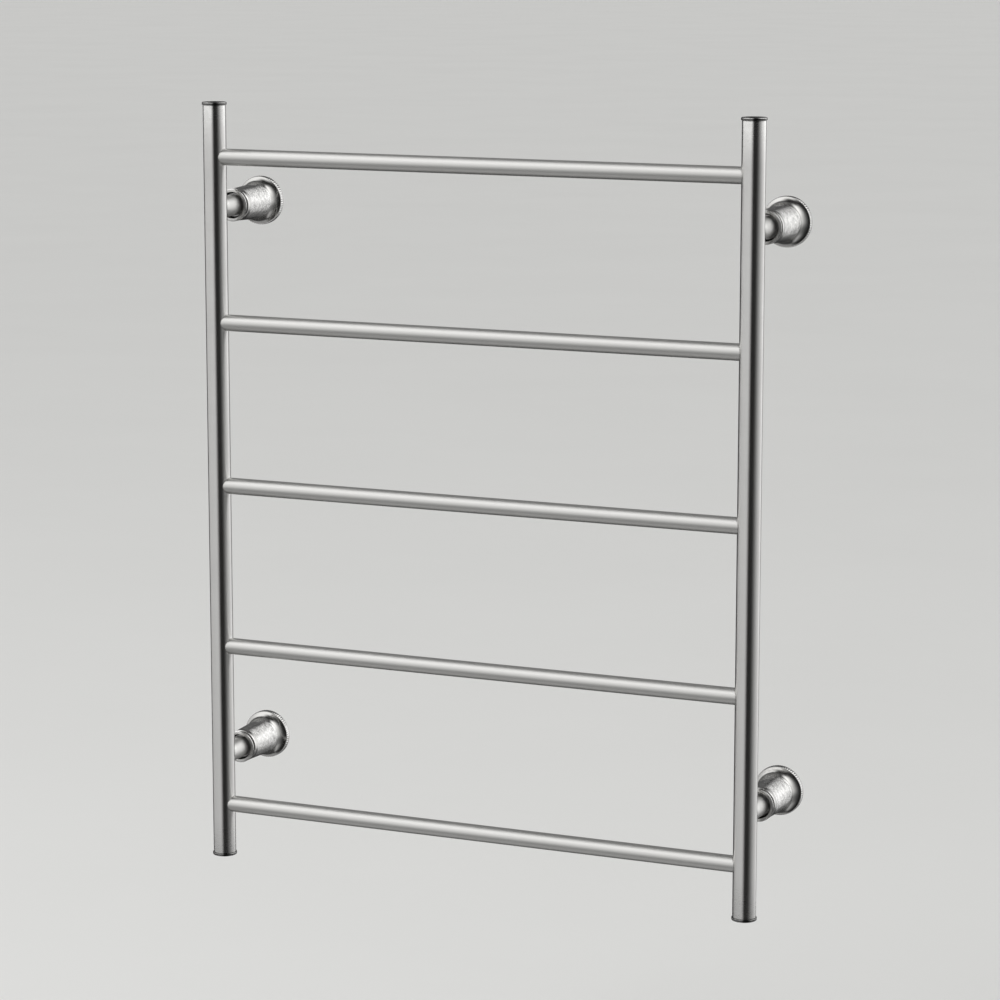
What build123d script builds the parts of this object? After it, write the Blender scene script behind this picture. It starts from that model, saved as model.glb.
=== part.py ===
"""Wall-mounted towel warmer rack: two posts, five rungs and four sleeved wall brackets.

Frame: +X runs along the rungs, +Y points into the wall and +Z is up. The origin lies on the
wall plane, at the centre of the four wall brackets. The user stands on the -Y side.
All sizes are in millimetres.
"""
from build123d import *
from math import pi
import os

# ---------------------------------------------------------------- driving dimensions
# Rack
post_spacing = 550.0          # between the post axes
rack_height = 747.0           # over both end caps
post_diameter = 22.2
post_wall = 1.2
rung_diameter = 16.0
rung_wall = 1.2
rung_count = 5
rung_inset = 52.5             # rack end to the nearest rung axis

# End caps
cap_lip_overhang = 0.8        # lip past the tube's outside
cap_lip_height = 3.0
cap_edge_round = 0.9
cap_inner_round = 0.3
cap_gap = 0.4                 # shadow gap between the lip and the tube
cap_gap_depth = 0.5
cap_plug_length = 9.0
cap_plug_taper = 0.6
cap_plug_taper_length = 1.5

# Wall brackets, along each bracket's own axis
post_to_wall = 96.0           # post axis to the wall plane
bracket_inset = 102.0         # rack end to the nearest bracket axis
arm_diameter = 20.5
arm_wall = 2.25
wire_hole_diameter = 12.0     # drilled in the rear of the wired post

base_disc_thickness = 4.0
base_disc_chamfer = 0.6
base_spigot_length = 36.0
base_spigot_taper = 0.8
base_spigot_taper_length = 1.2
base_bore_diameter = 10.0
base_screw_land = 1.8         # between the spigot and a wall screw's head
wall_screw_hole_diameter = 5.2
wall_screw_head_diameter = 9.6
grommet_seat_width = 2.0      # ledge round the bore at the wall
grommet_seat_depth = 1.5

cover_length = 59.1           # front face of the knurled cover to the wall
cover_front_chamfer = 0.6
cover_land_thickness = 2.26   # bearing land that turns on the collar's neck
cover_land_length = 7.3
cover_band_length = 5.5       # smooth band in front of the knurled barrel
cover_barrel_rise = 1.6       # barrel widens this much towards the wall, each side
cover_front_wall = 1.2
cover_wall = 1.6
cover_flare_length = 9.4
cover_flare_rise = 5.7        # flare past the barrel, each side
cover_flare_inset = 4.0       # inside corner behind the flare's start
cover_rim_rise = 0.8          # rim past the flare, each side
cover_rim_width = 5.6
cover_rim_chamfer = 0.5
cover_rim_wall = 2.6
cover_rim_inset = 1.2         # inside corner behind the rim's front face

collar_length = 1.4           # lip at the front, before the groove
collar_edge_round = 0.8
collar_mouth_round = 0.6
collar_back_round = 0.3
collar_lip = 3.1              # collar's front face, from its rim to the recess
collar_recess_depth = 4.8
collar_recess_chamfer = 1.2
collar_neck_wall = 1.0        # neck outside the O-ring's seat
collar_neck_length = 11.0
collar_step_rise = 1.05       # floor of the groove in front of the cover, past the neck
collar_step_length = 3.1
collar_groove_depth = 1.3     # same groove, below the collar's rim

ring_section = 2.2            # O-ring cord
ring_inset = 5.6              # O-ring seat behind the collar's lip
ring_play = 0.1               # beside the O-ring, each side
retainer_thickness = 1.2
retainer_radial_width = 1.6
retainer_mouth = 6.0          # opening of the retaining ring

grub_screw_diameter = 5.0
grub_screw_length = 4.0
grub_socket_across_flats = 2.5
grub_socket_depth = 2.0
grub_above_disc = 8.0         # grub screw axis in front of the base disc

# Heating element and wiring inside the tubes
cable_diameter = 5.0
cable_bend_radius = 25.0
cable_first_bend_radius = 17.0
guide_length = 12.0
seal_length = 24.0
seal_end_wall = 4.0
terminal_height = 16.0
terminal_flat_depth = 1.0
terminal_screw_diameter = 3.0
terminal_screw_length = 6.0
terminal_screw_pitch = 5.0
terminal_slot_width = 0.7
terminal_slot_depth = 0.7
cutout_diameter = 8.0
cutout_length = 18.0
cutout_round = 1.2
cutout_stub_diameter = 2.0
cutout_stub_length = 5.0
earth_strip_thickness = 0.5
earth_strip_width = 5.0
earth_strip_length = 24.0
grommet_bore_diameter = 7.0
grommet_inner_length = 6.0    # grommet inside the spigot, past the disc

# Clearances
joint_gap = 0.05              # brazed and pressed joints
fit_gap = 0.08                # sliding and turning fits
arm_fit_gap = 0.1             # arm over the base spigot
screw_clearance = 0.1
cable_clearance = 0.3
terminal_clearance = 0.4
disc_clearance = 1.0          # base disc inside the cover's rim
disc_to_arm_gap = 2.5
cut_past = 5.0                # how far cutting tools run past what they cut

# ---------------------------------------------------------------- derived values
post_radius = post_diameter / 2
post_bore_radius = post_radius - post_wall
rung_radius = rung_diameter / 2
rung_bore_radius = rung_radius - rung_wall
rung_pitch = (rack_height - 2 * rung_inset) / (rung_count - 1)
rung_levels = [rack_height / 2 - rung_inset - i * rung_pitch for i in range(rung_count)]
rung_hole_radius = rung_radius + joint_gap
post_half_length = rack_height / 2 - cap_lip_height
bracket_level = rack_height / 2 - bracket_inset

arm_radius = arm_diameter / 2
arm_bore_radius = arm_radius - arm_wall
spigot_radius = arm_bore_radius - arm_fit_gap
ring_seat_radius = arm_radius + fit_gap / 2 + ring_section + joint_gap
neck_radius = ring_seat_radius + collar_neck_wall
collar_bore_radius = arm_radius + fit_gap
step_radius = neck_radius + collar_step_rise
collar_radius = step_radius + collar_groove_depth
land_radius = neck_radius + fit_gap
cover_front_radius = land_radius + cover_land_thickness
barrel_radius = cover_front_radius + cover_barrel_rise
flare_radius = barrel_radius + cover_flare_rise
rim_radius = flare_radius + cover_rim_rise
disc_radius = rim_radius - cover_rim_wall - disc_clearance
grommet_seat_radius = base_bore_diameter / 2 + grommet_seat_width
wall_screw_offset = spigot_radius + base_screw_land + wall_screw_head_diameter / 2

disc_front_at = post_to_wall - base_disc_thickness
arm_end = disc_front_at - disc_to_arm_gap
cover_front_at = post_to_wall - cover_length
collar_step_at = cover_front_at - collar_step_length
collar_front_at = collar_step_at - collar_length
ring_at = collar_step_at + ring_inset
neck_end_at = cover_front_at + collar_neck_length
land_end_at = cover_front_at + cover_land_length
rim_at = post_to_wall - cover_rim_width
flare_start_at = rim_at - cover_flare_length
barrel_start_at = cover_front_at + cover_band_length
grub_at = disc_front_at - grub_above_disc

guide_at = post_spacing / 2 - cable_bend_radius - guide_length
terminal_radius = post_bore_radius - terminal_clearance
terminal_flat_at = terminal_radius - terminal_flat_depth

CORNERS = {
    "upper_left": (-1, 1),
    "upper_right": (1, 1),
    "lower_left": (-1, -1),
    "lower_right": (1, -1),
}
WIRED_CORNER = "lower_right"

os.makedirs("parts", exist_ok=True)


# ---------------------------------------------------------------- helpers
def save(shape, node):
    """Write one sub-part to its STEP file."""
    shape.label = node
    export_step(shape, f"parts/{node}.step")


def turned(points, rounds=None):
    """Solid turned about Z from a closed profile of (radius, height) points.

    rounds maps a point's index in the profile to the radius of its rounded corner.
    """
    outline = Polyline(*[(r, 0, h) for r, h in points], close=True)
    face = make_face(outline).face()
    for index, radius in (rounds or {}).items():
        corner = Vector(points[index][0], 0, points[index][1])
        nearest = min(face.vertices(), key=lambda vertex: (Vector(vertex) - corner).length)
        face = face.fillet_2d(radius, [nearest])
    return revolve(face, Axis.Z, 360)


def tube(outer_radius, inner_radius, length):
    """Round tube centred on the origin, along Z."""
    return Cylinder(outer_radius, length) - Cylinder(inner_radius, length + 2)


def rod_between(radius, start, length, direction):
    """Cylinder that starts at a point and runs along a direction."""
    return extrude(Plane(start, z_dir=direction) * Circle(radius), length)


def on_bracket(shape, corner):
    """Place a shape drawn along Z from the post axis onto one corner's bracket axis."""
    side, level = CORNERS[corner]
    place = Location((side * post_spacing / 2, -post_to_wall, level * bracket_level), (-90, 0, 0))
    return place * shape


# ---------------------------------------------------------------- rack
def make_post(side):
    """Post tube with a side hole for every rung, and a wire hole on the wired side."""
    x = side * post_spacing / 2
    post = Pos(x, -post_to_wall, 0) * tube(post_radius, post_bore_radius, 2 * post_half_length)
    for level in rung_levels:
        post -= rod_between(rung_hole_radius, (x, -post_to_wall, level), post_diameter, (-side, 0, 0))
    wired_side, wired_level = CORNERS[WIRED_CORNER]
    if side == wired_side:
        level = wired_level * bracket_level
        post -= rod_between(wire_hole_diameter / 2, (x, -post_to_wall, level), post_diameter, (0, 1, 0))
    return post


def make_rung(level):
    """Rung tube let into the side holes of both posts and trimmed flush with their bores."""
    rung = Rot(0, 90, 0) * tube(rung_radius, rung_bore_radius, post_spacing)
    for side in (-1, 1):
        rung -= Pos(side * post_spacing / 2, 0, 0) * Cylinder(post_bore_radius, post_diameter)
    return Pos(0, -post_to_wall, level) * rung


def make_end_cap():
    """Plug with a rounded lip; drawn with its seat on the tube's end at height 0."""
    lip = post_radius + cap_lip_overhang
    neck = post_radius - cap_gap_depth
    plug = post_bore_radius - joint_gap
    profile = [
        (0, -cap_plug_length),
        (plug - cap_plug_taper, -cap_plug_length),
        (plug, -cap_plug_length + cap_plug_taper_length),
        (plug, 0),
        (neck, 0),
        (neck, cap_gap),
        (lip, cap_gap),
        (lip, cap_lip_height),
        (0, cap_lip_height),
    ]
    return turned(profile, {7: cap_edge_round, 6: cap_inner_round})


# ---------------------------------------------------------------- wall brackets
def make_arm():
    """Hollow arm, coped to the rear of the post, with a tapped hole for its grub screw."""
    arm = extrude(Circle(arm_radius) - Circle(arm_bore_radius), arm_end)
    arm -= Rot(90, 0, 0) * Cylinder(post_radius + joint_gap, 2 * (arm_diameter + cut_past))
    hole_radius = grub_screw_diameter / 2 + screw_clearance
    return arm - rod_between(hole_radius, (0, 0, grub_at), arm_diameter, (0, 1, 0))


def make_wall_base():
    """Wall disc with two countersunk screw holes and a hollow spigot that carries the arm."""
    bore = base_bore_diameter / 2
    spigot_end = disc_front_at - base_spigot_length
    profile = [
        (bore, spigot_end),
        (spigot_radius - base_spigot_taper, spigot_end),
        (spigot_radius, spigot_end + base_spigot_taper_length),
        (spigot_radius, disc_front_at),
        (disc_radius - base_disc_chamfer, disc_front_at),
        (disc_radius, disc_front_at + base_disc_chamfer),
        (disc_radius, post_to_wall),
        (grommet_seat_radius, post_to_wall),
        (grommet_seat_radius, post_to_wall - grommet_seat_depth),
        (bore, post_to_wall - grommet_seat_depth),
    ]
    base = turned(profile)
    hole_radius = wall_screw_hole_diameter / 2
    head_radius = wall_screw_head_diameter / 2
    upward = (Align.CENTER, Align.CENTER, Align.MIN)
    for side in (-1, 1):
        seat = Pos(side * wall_screw_offset, 0, disc_front_at)
        base -= seat * Cylinder(hole_radius, base_disc_thickness, align=upward)
        base -= seat * Cone(head_radius, hole_radius, head_radius - hole_radius, align=upward)
    return base


def make_cover():
    """Cover sleeve: bearing land, smooth band, tapered barrel, coved flare and wall rim."""
    shoulder = cover_front_radius - cover_front_chamfer
    rim_bore = rim_radius - cover_rim_wall
    front_bore = cover_front_radius - cover_front_wall
    back_bore = barrel_radius - cover_wall
    taper = (cover_barrel_rise, 0, flare_start_at - barrel_start_at)
    front = Polyline(
        (land_radius, 0, cover_front_at),
        (shoulder, 0, cover_front_at),
        (cover_front_radius, 0, cover_front_at + cover_front_chamfer),
        (cover_front_radius, 0, barrel_start_at),
        (barrel_radius, 0, flare_start_at),
    )
    flare = TangentArc((barrel_radius, 0, flare_start_at), (flare_radius, 0, rim_at), tangent=taper)
    rim_and_inside = Polyline(
        (flare_radius, 0, rim_at),
        (rim_radius - cover_rim_chamfer, 0, rim_at),
        (rim_radius, 0, rim_at + cover_rim_chamfer),
        (rim_radius, 0, post_to_wall),
        (rim_bore, 0, post_to_wall),
        (rim_bore, 0, rim_at + cover_rim_inset),
        (back_bore, 0, flare_start_at + cover_flare_inset),
        (front_bore, 0, land_end_at),
        (land_radius, 0, land_end_at),
        (land_radius, 0, cover_front_at),
    )
    return revolve(make_face([front, flare, rim_and_inside]), Axis.Z, 360)


def make_collar():
    """Front collar: recessed ring, groove step and a neck that carries the cover."""
    recess = collar_radius - collar_lip
    recess_floor = collar_front_at + collar_recess_depth
    ring_end = ring_at + ring_section + 2 * ring_play
    groove_radius = neck_radius - retainer_radial_width / 2
    clip_at = land_end_at + fit_gap
    clip_end = clip_at + retainer_thickness + joint_gap
    profile = [
        (collar_bore_radius, recess_floor),
        (recess - collar_recess_chamfer, recess_floor),
        (recess, recess_floor - collar_recess_chamfer),
        (recess, collar_front_at),
        (collar_radius, collar_front_at),
        (collar_radius, collar_step_at),
        (step_radius, collar_step_at),
        (step_radius, cover_front_at - fit_gap),
        (neck_radius, cover_front_at - fit_gap),
        (neck_radius, clip_at),
        (groove_radius, clip_at),
        (groove_radius, clip_end),
        (neck_radius, clip_end),
        (neck_radius, neck_end_at),
        (collar_bore_radius, neck_end_at),
        (collar_bore_radius, ring_end),
        (ring_seat_radius, ring_end),
        (ring_seat_radius, ring_at),
        (collar_bore_radius, ring_at),
    ]
    return turned(profile, {4: collar_edge_round, 3: collar_mouth_round, 5: collar_back_round})


def make_o_ring():
    """Rubber ring in the collar that grips the arm."""
    centre_radius = arm_radius + (fit_gap + ring_section) / 2
    return Pos(0, 0, ring_at + ring_play + ring_section / 2) * Torus(centre_radius, ring_section / 2)


def make_retaining_ring():
    """Open spring ring in the neck's groove that keeps the cover on the collar."""
    inner = neck_radius - retainer_radial_width / 2 + joint_gap
    outer = inner + retainer_radial_width
    ring = extrude(Circle(outer) - Circle(inner), retainer_thickness)
    ring -= Pos(0, outer, 0) * Box(retainer_mouth, outer, 2 * (retainer_thickness + cut_past))
    return Pos(0, 0, land_end_at + fit_gap + joint_gap / 2) * ring


def make_grub_screw():
    """Hexagon-socket set screw, screwed into the arm from below until it meets the spigot."""
    tip = spigot_radius + joint_gap
    screw = rod_between(grub_screw_diameter / 2, (0, tip, grub_at), grub_screw_length, (0, 1, 0))
    socket_plane = Plane((0, tip + grub_screw_length, grub_at), z_dir=(0, -1, 0))
    socket = socket_plane * RegularPolygon(grub_socket_across_flats / 2, 6, major_radius=False)
    return screw - extrude(socket, grub_socket_depth)


# ---------------------------------------------------------------- heating element and wiring
def cable_far_side():
    """Side of the rack at which the cable ends, after one crossing for every rung."""
    return 1 if rung_count % 2 == 0 else -1


def make_heating_cable():
    """One cable laid up through the rungs in turn, with all its bends inside the posts."""
    reach = post_spacing / 2 + post_bore_radius - cable_diameter / 2 - cable_clearance
    terminal_top = -post_half_length + cap_plug_length + cable_clearance + terminal_height
    route = [(reach, terminal_top)]
    side = 1
    for level in reversed(rung_levels):
        route.append((side * reach, level))
        side = -side
        route.append((side * reach, level))
    route[-1] = (cable_far_side() * guide_at, rung_levels[0])
    radii = [cable_first_bend_radius] + [cable_bend_radius] * (len(route) - 3)
    path = FilletPolyline(*[(x, -post_to_wall, z) for x, z in route], radius=radii)
    cable = sweep(Plane(path @ 0, z_dir=path % 0) * Circle(cable_diameter / 2), path=path)
    expected = pi * (cable_diameter / 2) ** 2 * path.length
    print("heating cable length", round(path.length, 1), "bend radii", sorted(set(radii)))
    print("heating cable volume over section x length", round(cable.volume / expected, 5))
    return cable


def make_cable_guides():
    """Silicone bushes that centre the cable near both ends of every rung.

    The end seal does this at the far end of the top rung.
    """
    guides = []
    for level in rung_levels:
        for side in (-1, 1):
            if level == rung_levels[0] and side == cable_far_side():
                continue
            bush = tube(rung_bore_radius - joint_gap, cable_diameter / 2 + joint_gap, guide_length)
            guides.append(Location((side * guide_at, -post_to_wall, level), (0, 90, 0)) * bush)
    return Compound(children=guides)


def make_cable_end_seal():
    """Closed silicone sleeve on the cable's far end, inside the top rung."""
    far_side = cable_far_side()
    inward = (-far_side, 0, 0)
    closed_end = (far_side * (guide_at + seal_end_wall), -post_to_wall, rung_levels[0])
    cable_end = (far_side * guide_at, -post_to_wall, rung_levels[0])
    sleeve = rod_between(rung_bore_radius - joint_gap, closed_end, seal_length, inward)
    return sleeve - rod_between(cable_diameter / 2 + joint_gap, cable_end, seal_length, inward)


def terminal_centre():
    """Centre of the terminal block, in the wired post just above its end cap."""
    side, level = CORNERS[WIRED_CORNER]
    z = level * (post_half_length - cap_plug_length - cable_clearance - terminal_height / 2)
    return side * post_spacing / 2, -post_to_wall, z


def make_terminal_block():
    """Round ceramic block with a flat for the earth strip and seats for its screws."""
    block = Cylinder(terminal_radius, terminal_height)
    flat_width = earth_strip_width + 2 * cable_clearance
    block -= Pos(0, terminal_flat_at + terminal_radius, 0) * Box(
        flat_width, 2 * terminal_radius, terminal_height + cut_past
    )
    seat_radius = terminal_screw_diameter / 2 + screw_clearance
    for step in (-1, 0, 1):
        z = step * terminal_screw_pitch
        block -= rod_between(seat_radius, (0, 0, z), terminal_radius + cut_past, (0, -1, 0))
    return Pos(*terminal_centre()) * block


def make_terminal_screws():
    """Three brass clamp screws with driver slots, in the front of the block."""
    screws = []
    for step in (-1, 0, 1):
        z = step * terminal_screw_pitch
        screw = rod_between(terminal_screw_diameter / 2, (0, 0, z), terminal_screw_length, (0, -1, 0))
        slot_box = Box(terminal_screw_diameter + cut_past, 2 * terminal_slot_depth, terminal_slot_width)
        slot = Pos(0, -terminal_screw_length, z) * slot_box
        screws.append(Pos(*terminal_centre()) * (screw - slot))
    return Compound(children=screws)


def make_earth_strip():
    """Bronze strip that lies on the block's flat and springs against the post's bore."""
    x, y, z = terminal_centre()
    strip = Box(earth_strip_width, earth_strip_thickness, earth_strip_length)
    y_centre = y + terminal_flat_at + (cable_clearance + earth_strip_thickness) / 2
    rise = (earth_strip_length - terminal_height) / 2
    return Pos(x, y_centre, z + rise) * strip


def make_thermal_cutout():
    """Thermal cut-out capsule with two lead stubs, lying against the wired post's bore.

    It sits midway between the lowest rung and the wired bracket.
    """
    side, level = CORNERS[WIRED_CORNER]
    x = side * (post_spacing / 2 + post_bore_radius - cutout_diameter / 2 - joint_gap)
    z = (level * bracket_level + rung_levels[-1]) / 2
    capsule = Cylinder(cutout_diameter / 2, cutout_length)
    capsule = fillet(capsule.edges(), cutout_round)
    capsule += Cylinder(cutout_stub_diameter / 2, cutout_length + 2 * cutout_stub_length)
    return Pos(x, -post_to_wall, z) * capsule


def make_cable_grommet():
    """Rubber grommet in the wired base, where the supply comes out of the wall."""
    flange = grommet_seat_radius - joint_gap
    body = base_bore_diameter / 2 - joint_gap
    hole = grommet_bore_diameter / 2
    ledge = post_to_wall - grommet_seat_depth + joint_gap
    inner_end = disc_front_at - grommet_inner_length
    profile = [
        (hole, post_to_wall),
        (flange, post_to_wall),
        (flange, ledge),
        (body, ledge),
        (body, inner_end),
        (hole, inner_end),
    ]
    return turned(profile)


# ---------------------------------------------------------------- build
for name, side in (("left", -1), ("right", 1)):
    save(make_post(side), f"post_{name}")

for number, level in enumerate(rung_levels, start=1):
    save(make_rung(level), f"rung_{number}")

cap = make_end_cap()
arm = make_arm()
wall_base = make_wall_base()
cover = make_cover()
collar = make_collar()
o_ring = make_o_ring()
retaining_ring = make_retaining_ring()
grub_screw = make_grub_screw()
grub_screws = []
for corner, (side, level) in CORNERS.items():
    flip = 0 if level > 0 else 180
    seat = Location((side * post_spacing / 2, -post_to_wall, level * post_half_length), (flip, 0, 0))
    save(seat * cap, f"end_cap_{corner}")
    save(on_bracket(arm, corner), f"arm_{corner}")
    save(on_bracket(wall_base, corner), f"wall_base_{corner}")
    save(on_bracket(cover, corner), f"cover_{corner}")
    save(on_bracket(collar, corner), f"collar_{corner}")
    save(on_bracket(o_ring, corner), f"o_ring_{corner}")
    save(on_bracket(retaining_ring, corner), f"retaining_ring_{corner}")
    grub_screws.append(on_bracket(grub_screw, corner))
save(Compound(children=grub_screws), "arm_grub_screws")

save(make_heating_cable(), "heating_cable")
save(make_cable_guides(), "cable_guides")
save(make_cable_end_seal(), "cable_end_seal")
save(make_terminal_block(), "terminal_block")
save(make_terminal_screws(), "terminal_screws")
save(make_earth_strip(), "earth_strip")
save(make_thermal_cutout(), "thermal_cutout")
save(on_bracket(make_cable_grommet(), WIRED_CORNER), "cable_grommet")
print("rung pitch", rung_pitch, "bracket spacing", 2 * bracket_level)
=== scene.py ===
"""Visual model of a wall-mounted towel warmer rack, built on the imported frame.

Lengths are in metres. +X runs along the rungs, +Y points into the wall and +Z is up; the origin
is on the wall plane, at the centre of the four brackets.
"""

from __future__ import annotations

import logging
import math
from dataclasses import dataclass, field
from enum import Enum
from typing import Iterable

import bmesh
import bpy
from mathutils import Matrix, Vector


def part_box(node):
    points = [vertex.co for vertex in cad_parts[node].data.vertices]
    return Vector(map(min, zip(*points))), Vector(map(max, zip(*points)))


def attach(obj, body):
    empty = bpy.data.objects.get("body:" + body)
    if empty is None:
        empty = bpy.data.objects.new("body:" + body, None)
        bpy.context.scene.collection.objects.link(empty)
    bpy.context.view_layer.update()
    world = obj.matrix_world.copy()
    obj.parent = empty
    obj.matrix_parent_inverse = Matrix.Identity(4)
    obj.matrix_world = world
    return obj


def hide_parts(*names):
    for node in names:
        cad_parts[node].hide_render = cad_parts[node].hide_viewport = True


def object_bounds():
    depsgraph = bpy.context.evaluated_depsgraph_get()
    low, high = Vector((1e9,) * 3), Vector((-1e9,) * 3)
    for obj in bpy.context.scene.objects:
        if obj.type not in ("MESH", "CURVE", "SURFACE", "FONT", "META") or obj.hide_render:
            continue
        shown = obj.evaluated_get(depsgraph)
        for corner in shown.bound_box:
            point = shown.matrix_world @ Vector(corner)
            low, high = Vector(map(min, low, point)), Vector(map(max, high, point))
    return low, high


LOG = logging.getLogger("towel_rack")
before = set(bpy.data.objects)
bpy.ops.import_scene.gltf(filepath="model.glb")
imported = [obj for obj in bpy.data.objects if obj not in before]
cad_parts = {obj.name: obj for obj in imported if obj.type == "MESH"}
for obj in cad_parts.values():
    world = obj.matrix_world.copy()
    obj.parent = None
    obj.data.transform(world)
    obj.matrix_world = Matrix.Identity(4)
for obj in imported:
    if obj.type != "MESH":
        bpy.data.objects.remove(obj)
CAD_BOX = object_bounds()

MM = 0.001
GRAIN_UV = "grain"
CREST = "crest"
WEAR = "edge_wear"


class Along(Enum):
    """The direction in which a turned or drawn piece runs."""

    X = "X"
    Y = "Y"
    Z = "Z"

    def matrix(self, origin: Vector) -> Matrix:
        """Matrix that takes a shape drawn along +Z to this direction at an origin."""
        turns = {
            Along.X: Matrix.Rotation(math.radians(90), 4, "Y"),
            Along.Y: Matrix.Rotation(math.radians(-90), 4, "X"),
            Along.Z: Matrix.Identity(4),
        }
        return Matrix.Translation(origin) @ turns[self]


class Corner(Enum):
    """The four bracket corners, as (side, level) signs."""

    UPPER_LEFT = (-1, 1)
    UPPER_RIGHT = (1, 1)
    LOWER_LEFT = (-1, -1)
    LOWER_RIGHT = (1, -1)

    @property
    def label(self) -> str:
        """The corner's name as the frame's nodes spell it."""
        return self.name.lower()


# ---------------------------------------------------------------- mesh helpers
@dataclass(frozen=True)
class Knot:
    """One corner of a turned outline: radius, height and the round at the corner."""

    radius: float
    height: float
    round: float = 0.0


def outline(knots: Iterable[Knot], steps: int = 5) -> list[Vector]:
    """Turn the corners of an outline into points, with an arc at each rounded corner.

    Args:
        knots: The outline's corners in order.
        steps: Segments in each rounded corner.

    Returns:
        Points in the XZ plane.
    """
    corners = list(knots)
    points = []
    for index, knot in enumerate(corners):
        here = Vector((knot.radius, 0.0, knot.height))
        inner = 0 < index < len(corners) - 1
        if knot.round <= 0.0 or not inner:
            points.append(here)
            continue
        before = corners[index - 1]
        after = corners[index + 1]
        back = (Vector((before.radius, 0.0, before.height)) - here).normalized()
        ahead = (Vector((after.radius, 0.0, after.height)) - here).normalized()
        half = back.angle(ahead) / 2
        centre = here + (back + ahead).normalized() * (knot.round / math.sin(half))
        start = here + back * (knot.round / math.tan(half)) - centre
        end = here + ahead * (knot.round / math.tan(half)) - centre
        sweep = start.angle(end)
        for step in range(steps + 1):
            part = step / steps
            weight_a = math.sin((1 - part) * sweep) / math.sin(sweep)
            weight_b = math.sin(part * sweep) / math.sin(sweep)
            points.append(centre + start * weight_a + end * weight_b)
    return points


def spun(points: list[Vector], steps: int) -> bmesh.types.BMesh:
    """Spin an outline in the XZ plane about Z into a closed surface of revolution.

    Args:
        points: The outline, from one end to the other.
        steps: Segments around the axis.

    Returns:
        A new bmesh with doubles merged.
    """
    mesh = bmesh.new()
    verts = [mesh.verts.new(point) for point in points]
    edges = [mesh.edges.new(pair) for pair in zip(verts, verts[1:])]
    bmesh.ops.spin(
        mesh,
        geom=verts + edges,
        cent=(0, 0, 0),
        axis=(0, 0, 1),
        angle=math.tau,
        steps=steps,
        use_merge=True,
        use_duplicate=False,
    )
    bmesh.ops.remove_doubles(mesh, verts=mesh.verts[:], dist=1e-7)
    return mesh


def write_grain_uv(mesh: bmesh.types.BMesh, radius: float) -> None:
    """Lay a UV map whose U runs along Z (or outward on end faces) and whose V runs around Z.

    Args:
        mesh: A mesh drawn along +Z about the origin.
        radius: Radius that turns angle into length for V.
    """
    layer = mesh.loops.layers.uv.new(GRAIN_UV)
    for face in mesh.faces:
        middle = face.calc_center_median()
        mid_angle = math.atan2(middle.y, middle.x)
        for loop in face.loops:
            point = loop.vert.co
            distance = math.hypot(point.x, point.y)
            angle = math.atan2(point.y, point.x) if distance > 1e-6 else mid_angle
            angle += math.tau * round((mid_angle - angle) / math.tau)
            loop[layer].uv = (point.z + distance, angle * radius)


def write_edge_wear(mesh: bmesh.types.BMesh) -> None:
    """Give every vertex a 0 to 1 value of how sharp an outer edge it lies on.

    Args:
        mesh: A mesh with outward normals.
    """
    blunt, sharp = math.radians(6), math.radians(16)
    layer = mesh.verts.layers.float.new(WEAR)
    mesh.normal_update()
    for vert in mesh.verts:
        bends = [edge.calc_face_angle_signed(0.0) for edge in vert.link_edges]
        fold = max(bends, default=0.0)
        vert[layer] = min(max((fold - blunt) / (sharp - blunt), 0.0), 1.0)


@dataclass
class Piece:
    """A finished visual piece and what it stands for."""

    name: str
    body: str
    slot: str
    stands_for: tuple[str, ...]
    smooth_angle: float = 32.0

    def finish(self, mesh: bmesh.types.BMesh, place: Matrix, material: bpy.types.Material) -> bpy.types.Object:
        """Place the mesh, turn it into an object and bind it to the frame.

        Args:
            mesh: The shape drawn about the origin; it is freed.
            place: Matrix that takes it to its place.
            material: The finish it carries.

        Returns:
            The finished object, at the origin with its place in its mesh.
        """
        bmesh.ops.transform(mesh, matrix=place, verts=mesh.verts[:])
        bmesh.ops.recalc_face_normals(mesh, faces=mesh.faces[:])
        write_edge_wear(mesh)
        limit = math.radians(self.smooth_angle)
        for face in mesh.faces:
            face.smooth = True
        for edge in mesh.edges:
            edge.smooth = len(edge.link_faces) == 2 and edge.calc_face_angle(0.0) < limit
        data = bpy.data.meshes.new(self.name)
        mesh.to_mesh(data)
        mesh.free()
        data.materials.append(material)
        piece = bpy.data.objects.new(self.name, data)
        bpy.context.scene.collection.objects.link(piece)
        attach(piece, self.body)
        if self.stands_for:
            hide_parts(*self.stands_for)
        LOG.info("%s: %d faces on %s", self.name, len(data.polygons), self.body)
        return piece


# ---------------------------------------------------------------- finishes
def node_of(tree: bpy.types.NodeTree, kind: str, **settings: object) -> bpy.types.Node:
    """Add a node and set its attributes.

    Args:
        tree: The node tree.
        kind: The node's type name.
        **settings: Attributes to set on it.

    Returns:
        The new node.
    """
    node = tree.nodes.new(kind)
    for key, value in settings.items():
        setattr(node, key, value)
    return node


def math_of(tree: bpy.types.NodeTree, operation: str, *inputs: object) -> bpy.types.NodeSocket:
    """Add a Math node fed by sockets or numbers and return its output.

    Args:
        tree: The node tree.
        operation: The Math node's operation.
        *inputs: Sockets to link or numbers to set, in order.

    Returns:
        The node's output socket.
    """
    node = node_of(tree, "ShaderNodeMath", operation=operation)
    for slot, value in zip(node.inputs, inputs):
        if isinstance(value, bpy.types.NodeSocket):
            tree.links.new(value, slot)
        else:
            slot.default_value = value
    return node.outputs[0]


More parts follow.
